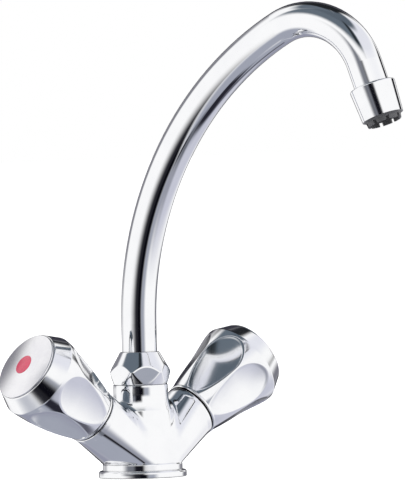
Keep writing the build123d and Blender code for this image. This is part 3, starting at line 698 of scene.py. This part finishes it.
def make_casting():
    """Foot, two arms and neck in one casting, with soft valleys between them."""
    parts = []
    for side in (-1, 1):
        deselect()
        bpy.ops.mesh.primitive_cone_add(vertices=96, radius1=15.4 * MM, radius2=14.2 * MM,
                                        depth=38 * MM, location=(0, 0, 0))
        cone = bpy.context.object
        apply_place(cone, arm_frame(side) @ Matrix.Translation((0, 0, 18 * MM)))
        parts.append(cone)
    deselect()
    bpy.ops.mesh.primitive_cone_add(vertices=96, radius1=NECK_ROOT_RADIUS * MM,
                                    radius2=NECK_RADIUS * MM, depth=45.8 * MM,
                                    location=(0, 0, 23.9 * MM))
    casting = bpy.context.object
    casting.name = "mixer_casting"
    for cone in parts:
        cone.select_set(True)
    bpy.context.view_layer.objects.active = casting
    bpy.ops.object.join()
    bpy.ops.object.transform_apply(location=True, rotation=True, scale=True)
    remesh = casting.modifiers.new("even skin", "REMESH")
    remesh.mode = "VOXEL"
    remesh.voxel_size = VOXEL * MM
    bpy.ops.object.modifier_apply(modifier=remesh.name)
    # the skin settles on the blended shape of the casting
    points = points_of(casting) / MM
    for _ in range(SETTLE_ROUNDS):
        gap = np.clip(casting_distance(points), -SETTLE_REACH, SETTLE_REACH)
        slope = casting_slope(points)
        steepness = np.maximum((slope**2).sum(1), 0.05)
        points -= gap[:, None] * slope / steepness[:, None]
    set_points(casting, points * MM)
    return casting


def cut_away(piece, point, normal):
    """Cuts a piece at a plane and drops what lies past it. The edge of the cut stays selected."""
    edit(piece)
    bpy.ops.mesh.bisect(plane_co=point, plane_no=normal, clear_outer=True)


def turn_inwards(place, outline):
    """Carries a selected round edge along an outline about the z axis of a place."""
    axis = place.to_3x3() @ Vector((0, 0, 1))
    for (ra, ta), (rb, tb) in zip(outline, outline[1:]):
        bpy.ops.mesh.extrude_region_move(
            TRANSFORM_OT_translate={"value": axis * ((tb - ta) * MM)})
        share = rb / ra
        centre = place @ Vector((0, 0, tb * MM))
        bpy.ops.transform.resize(value=(share, share, share), center_override=centre)
    bpy.ops.mesh.edge_face_add()


def make_foot():
    """Round foot with a lip, a gasket groove and three threaded holes in its underside."""
    outline = rounded([(0, 0, 0), (16.8, 0, 0.15), (16.8, 2.0, 0), (19.4, 2.0, 0),
                       (19.4, 0, 0.15), (22.4, 0, 0.25), (22.4, 3.4, 1.2), (20.4, 3.4, 0.2),
                       (20.4, 7.4, 1.2), (0, 7.4, 0)], 6)
    foot = turned("mixer_foot", outline, steps=192)
    holes = []
    for x, y, radius in ((-9.0, 0.0, 4.46), (9.0, 0.0, 4.46), (0.0, 12.5, 3.33)):
        deselect()
        bpy.ops.mesh.primitive_cylinder_add(vertices=64, radius=radius * MM, depth=8 * MM,
                                            location=(x * MM, y * MM, 2.6 * MM))
        holes.append(bpy.context.object)
    for hole in holes:
        hole.select_set(True)
    bpy.ops.object.join()
    drill = bpy.context.object
    bpy.ops.object.transform_apply(location=True, rotation=True, scale=True)
    deselect()
    foot.select_set(True)
    bpy.context.view_layer.objects.active = foot
    cut = foot.modifiers.new("threaded holes", "BOOLEAN")
    cut.operation = "DIFFERENCE"
    cut.object = drill
    bpy.ops.object.modifier_apply(modifier=cut.name)
    bpy.data.objects.remove(drill)
    return foot


def finish_casting(casting):
    """Turns the rims and bores of the arms and the neck, and joins the foot on."""
    start, seat, floor = ARM_LENGTH - ARM_RIM, ARM_LENGTH - 2.3, ARM_LENGTH - 20
    arm_rim = rounded([(ARM_RADIUS, start, 0), (ARM_RADIUS, ARM_LENGTH, 0.6),
                       (HEADWORK_SEAT, ARM_LENGTH, 0.2), (HEADWORK_SEAT, seat, 0),
                       (HEADWORK_BORE, seat, 0), (HEADWORK_BORE, floor, 0),
                       (WATER_WAY, floor, 0), (WATER_WAY, 7.0, 0)])
    for side in (-1, 1):
        place = arm_frame(side)
        cut_away(casting, place @ Vector((0, 0, start * MM)), place.to_3x3() @ Vector((0, 0, 1)))
        turn_inwards(place, arm_rim)
        leave()
    cut_away(casting, (0, 0, NECK_CUT * MM), (0, 0, 1))
    neck_rim = rounded([(NECK_RADIUS, NECK_CUT, 0), (NECK_RADIUS, NECK_TOP, 0.3),
                        (12.0, NECK_TOP, 0), (12.0, 53.0, 0.3), (9.2, 53.0, 0.3),
                        (9.2, 41.5, 0), (8.0, 41.5, 0), (8.0, 28.0, 0)])
    turn_inwards(Matrix.Identity(4), neck_rim)
    leave()
    cut_away(casting, (0, 0, 6.8 * MM), (0, 0, -1))
    bpy.ops.mesh.edge_face_add()
    bpy.ops.mesh.select_all(action="SELECT")
    bpy.ops.mesh.normals_make_consistent(inside=False)
    leave()
    foot = make_foot()
    deselect()
    foot.select_set(True)
    casting.select_set(True)
    bpy.context.view_layer.objects.active = casting
    bpy.ops.object.join()
    smooth(casting, radians(32))
    return casting


def settle_shading(casting):
    """The blended skin takes its shading from the shape itself, so reflections run clean."""
    mesh = casting.data
    points = points_of(casting) / MM
    on_skin = (points[:, 2] > 8.0) & (points[:, 2] < NECK_CUT - 0.05)
    for side in (-1, 1):
        place = arm_frame(side)
        axis = np.array(place.to_3x3() @ Vector((0, 0, 1)))
        along = (points - np.array((0, 0, ARM_CROSS))) @ axis
        on_skin &= along < ARM_LENGTH - ARM_RIM - 0.05
    on_skin &= np.abs(casting_distance(points)) < 0.05
    slope = casting_slope(points)
    slope /= np.maximum(np.linalg.norm(slope, axis=1, keepdims=True), 1e-9)
    slope[~on_skin] = 0
    corners = np.empty(len(mesh.loops), dtype=np.int32)
    mesh.loops.foreach_get("vertex_index", corners)
    mesh.normals_split_custom_set(slope[corners].tolist())


casting = finish_casting(make_casting())
settle_shading(casting)
casting.data.materials.append(cast_chrome)
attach(casting, "body")
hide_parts("faucet_body")


# ================================================================== nodes that stay
def dress(node_name, material):
    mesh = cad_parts[node_name].data
    mesh.materials.clear()
    mesh.materials.append(material)


KEPT = {
    "spout_tube": tube_chrome,
    "aerator_sleeve": nut_chrome,
    "aerator_insert": dark_plastic,
    "aerator_nipple": turned_brass,
    "aerator_gasket": black_rubber,
    "aerator_screens": steel_mesh,
    "spout_collar": turned_brass,
    "spout_seals": black_rubber,
    "lower_slide_ring": white_plastic,
    "upper_slide_ring": white_plastic,
    "base_gasket": black_rubber,
}
for node_name, material in KEPT.items():
    dress(node_name, material)
for word, index_plastic in (("hot", red_plastic), ("cold", blue_plastic)):
    for piece_name, material in (
        ("index_dot", index_plastic),
        ("seat_seal", black_rubber),
        ("fixed_disc", ceramic),
        ("turning_disc", ceramic),
        ("bonnet", turned_brass),
        ("bonnet_gasket", black_rubber),
        ("spindle", turned_brass),
        ("spindle_seals", black_rubber),
        ("retaining_clip", spring_steel),
        ("spline_adaptor", white_plastic),
        ("handle_screw", spring_steel),
    ):
        dress(f"{word}_{piece_name}", material)


# ================================================================== studio
CAMERA_AZIMUTH = radians(-38.5)
CAMERA_HEIGHT = radians(1.4)
CAMERA_ROLL = radians(-1.5)
CAMERA_AWAY = 5.0
VIEW_WIDTH = 0.2448
VIEW_CENTRE = (0.0304, 0.1206)
SENSOR_WIDTH = 36
WHITE = (1, 1, 1)
ROOM_GREY = (0.62, 0.62, 0.63)

# Soft cards round the mixer, as directions seen from it: name, bearing from the camera (to
# the right), height above the horizon, half width, half height, softness of the sides,
# softness of top and bottom (all degrees), colour.
CARDS = (
    ("lavender table all round", 0, -68, 180, 22, 5, 9, (0.36, 0.38, 0.45)),
    ("pale ceiling right", 75, 55, 60, 22, 10, 10, (0.80, 0.81, 0.87)),
    ("slate ceiling", -40, 60, 58, 26, 7, 9, (0.125, 0.155, 0.19)),
    ("slate zenith", 0, 84, 180, 19, 5, 6, (0.10, 0.125, 0.155)),
    ("slate ceiling left", -125, 68, 30, 16, 8, 6, (0.125, 0.155, 0.19)),
    ("dark ceiling over camera", 2, 54, 9, 17, 6, 7, (0.02, 0.025, 0.03)),
    ("dark ceiling behind", 180, 56, 32, 22, 8, 6, (0.015, 0.017, 0.02)),
    ("grey wall left of camera", -32, 8, 20, 9, 12, 4, (0.20, 0.21, 0.24)),
    ("black wall over camera", -9, 8, 14, 9, 6, 4, (0.006, 0.006, 0.01)),
    ("grey wall far left", -142, 15, 16, 16, 9, 6, (0.22, 0.22, 0.25)),
    ("lavender right", 100, -38, 52, 17, 20, 12, (0.58, 0.59, 0.68)),
    ("lavender behind", 180, -38, 30, 16, 8, 8, (0.30, 0.31, 0.39)),
    ("fall-off left of camera", -14, -20, 22, 23, 20, 4, (0.02, 0.02, 0.026)),
    ("grey right of camera", 24, -20, 13, 23, 10, 4, (0.36, 0.38, 0.44)),
    ("grey below right of camera", 42, -40, 20, 12, 12, 14, (0.30, 0.31, 0.37)),
    ("black behind camera", 2, -20, 12, 23, 7, 4, (0.003, 0.003, 0.006)),
    ("grey table corner", 38, -54, 16, 8, 8, 5, (0.15, 0.16, 0.19)),
    ("black table corner", 22, -48, 6, 5, 4, 4, (0.01, 0.01, 0.015)),
    ("black table edge", 75, -67, 38, 10, 8, 4, (0.02, 0.02, 0.03)),
    ("dark table edge far", 130, -61, 30, 5, 8, 4, (0.10, 0.10, 0.13)),
    ("black right behind", 133, 15, 12, 7, 4, 3, (0.008, 0.008, 0.012)),
    ("grey right behind", 146, -4, 14, 6, 9, 4, (0.20, 0.20, 0.23)),
    ("dark straight behind", 180, 8, 22, 30, 6, 8, (0.04, 0.04, 0.055)),
)


def smooth_band(tree, value, half, soft, place):
    """1 within half of zero and 0 outside it, with a soft edge."""
    band = add(tree, "ShaderNodeMapRange", place, interpolation_type="SMOOTHSTEP")
    band.inputs["From Min"].default_value = half - soft
    band.inputs["From Max"].default_value = half + soft
    band.inputs["To Min"].default_value = 1.0
    band.inputs["To Max"].default_value = 0.0
    join(tree, value, band.inputs["Value"])
    return band.outputs["Result"]


def make_world():
    """White studio with soft grey and black cards that only polished surfaces show."""
    world = bpy.data.worlds.new("studio")
    scene.world = world
    tree = new_tree(world)
    where = add(tree, "ShaderNodeTexCoord", (-1800, 0))
    split = add(tree, "ShaderNodeSeparateXYZ", (-1600, 0))
    turn = add(tree, "ShaderNodeMapping", (-1700, 0), vector_type="TEXTURE")
    turn.inputs["Rotation"].default_value = (0, 0, CAMERA_AZIMUTH)
    join(tree, where.outputs["Generated"], turn.inputs["Vector"])
    join(tree, turn.outputs["Vector"], split.inputs["Vector"])
    back = reckon(tree, "MULTIPLY", (-1400, -100), split.outputs["Y"], -1.0)
    bearing = reckon(tree, "ARCTAN2", (-1200, 100), split.outputs["X"], back)
    height = reckon(tree, "ARCSINE", (-1200, -100), split.outputs["Z"])
    colour = WHITE
    for i, (name, az, el, half_w, half_h, soft_w, soft_h, tone) in enumerate(CARDS):
        y = 600 - 260 * i
        off = reckon(tree, "SUBTRACT", (-1000, y), bearing, radians(az))
        off = reckon(tree, "WRAP", (-850, y), off, pi, -pi)
        off = reckon(tree, "ABSOLUTE", (-700, y), off)
        side = smooth_band(tree, off, radians(half_w), radians(soft_w), (-540, y))
        up = reckon(tree, "SUBTRACT", (-1000, y - 120), height, radians(el))
        up = reckon(tree, "ABSOLUTE", (-700, y - 120), up)
        level = smooth_band(tree, up, radians(half_h), radians(soft_h), (-540, y - 120))
        mask = reckon(tree, "MULTIPLY", (-360, y), side, level)
        colour = mixed(tree, (-180 + 40 * i, y), mask, colour, tone)
        colour.node.label = name
    ray = add(tree, "ShaderNodeLightPath", (500, 400))
    shown = mixed(tree, (700, 200), ray.outputs["Is Glossy Ray"], ROOM_GREY, colour)
    seen = mixed(tree, (900, 200), ray.outputs["Is Camera Ray"], shown, WHITE)
    light = add(tree, "ShaderNodeBackground", (1100, 200))
    join(tree, seen, light.inputs["Color"])
    result = add(tree, "ShaderNodeOutputWorld", (1300, 200))
    join(tree, light.outputs["Background"], result.inputs["Surface"])


def make_floor():
    """Plain pale floor: white to the camera but for the mixer's soft shadow."""
    deselect()
    bpy.ops.mesh.primitive_plane_add(size=16, location=(0, 0, -0.0003))
    floor = bpy.context.object
    floor.name = "floor"
    bpy.ops.object.mode_set(mode="EDIT")
    bpy.ops.mesh.select_all(action="SELECT")
    bpy.ops.mesh.subdivide(number_cuts=7)
    leave()
    material = bpy.data.materials.new("pale floor")
    tree = new_tree(material)
    out = add(tree, "ShaderNodeOutputMaterial", (800, 0))
    matt = add(tree, "ShaderNodeBsdfPrincipled", (0, 0))
    matt.inputs["Base Color"].default_value = (0.86, 0.86, 0.865, 1)
    matt.inputs["Roughness"].default_value = 0.8
    matt.inputs["Specular IOR Level"].default_value = 0.0
    glow = add(tree, "ShaderNodeEmission", (0, -300))
    glow.inputs["Strength"].default_value = 0.62
    both = add(tree, "ShaderNodeAddShader", (200, -100))
    join(tree, matt.outputs["BSDF"], both.inputs[0])
    join(tree, glow.outputs["Emission"], both.inputs[1])
    ray = add(tree, "ShaderNodeLightPath", (0, 300))
    lit = add(tree, "ShaderNodeMixShader", (400, 0))
    join(tree, ray.outputs["Is Camera Ray"], lit.inputs["Fac"])
    join(tree, matt.outputs["BSDF"], lit.inputs[1])
    join(tree, both.outputs["Shader"], lit.inputs[2])
    clear = add(tree, "ShaderNodeBsdfTransparent", (400, -200))
    seen = add(tree, "ShaderNodeMixShader", (600, 0))
    join(tree, ray.outputs["Is Glossy Ray"], seen.inputs["Fac"])
    join(tree, lit.outputs["Shader"], seen.inputs[1])
    join(tree, clear.outputs["BSDF"], seen.inputs[2])
    join(tree, seen.outputs["Shader"], out.inputs["Surface"])
    floor.data.materials.append(material)


def make_lamp(name, place, size, power):
    """Square softbox that looks at the middle of the mixer."""
    deselect()
    bpy.ops.object.light_add(type="AREA", location=place)
    lamp = bpy.context.object
    lamp.name = name
    lamp.data.size = size
    lamp.data.energy = power
    towards = Vector((0, 0, 0.1)) - Vector(place)
    lamp.rotation_euler = towards.to_track_quat("-Z", "Y").to_euler()
    # polished metal mirrors the studio's walls and cards, not the lamps
    lamp.visible_glossy = False


def make_camera():
    """Camera at the photograph's angle, far off, so that it sees almost no perspective."""
    back = Vector((sin(CAMERA_AZIMUTH) * cos(CAMERA_HEIGHT),
                   -cos(CAMERA_AZIMUTH) * cos(CAMERA_HEIGHT), sin(CAMERA_HEIGHT)))
    level = Vector((cos(CAMERA_AZIMUTH), sin(CAMERA_AZIMUTH), 0))
    up = back.cross(level)
    right = level * cos(CAMERA_ROLL) + up * sin(CAMERA_ROLL)
    top = up * cos(CAMERA_ROLL) - level * sin(CAMERA_ROLL)
    target = right * VIEW_CENTRE[0] + top * VIEW_CENTRE[1]
    deselect()
    bpy.ops.object.camera_add()
    camera = bpy.context.object
    turn = Matrix((right, top, back)).transposed().to_4x4()
    camera.matrix_world = Matrix.Translation(target + back * CAMERA_AWAY) @ turn
    camera.data.sensor_width = SENSOR_WIDTH
    camera.data.lens = SENSOR_WIDTH * CAMERA_AWAY / VIEW_WIDTH
    camera.data.clip_end = 50
    scene.camera = camera


scene.view_settings.view_transform = "Standard"
make_world()
make_floor()
make_lamp("key softbox", (-0.9, -1.3, 1.6), 1.2, 22)
make_lamp("fill softbox", (1.4, -0.8, 1.1), 1.4, 12)
make_lamp("rim softbox", (0.2, 1.5, 1.3), 1.2, 10)
make_camera()
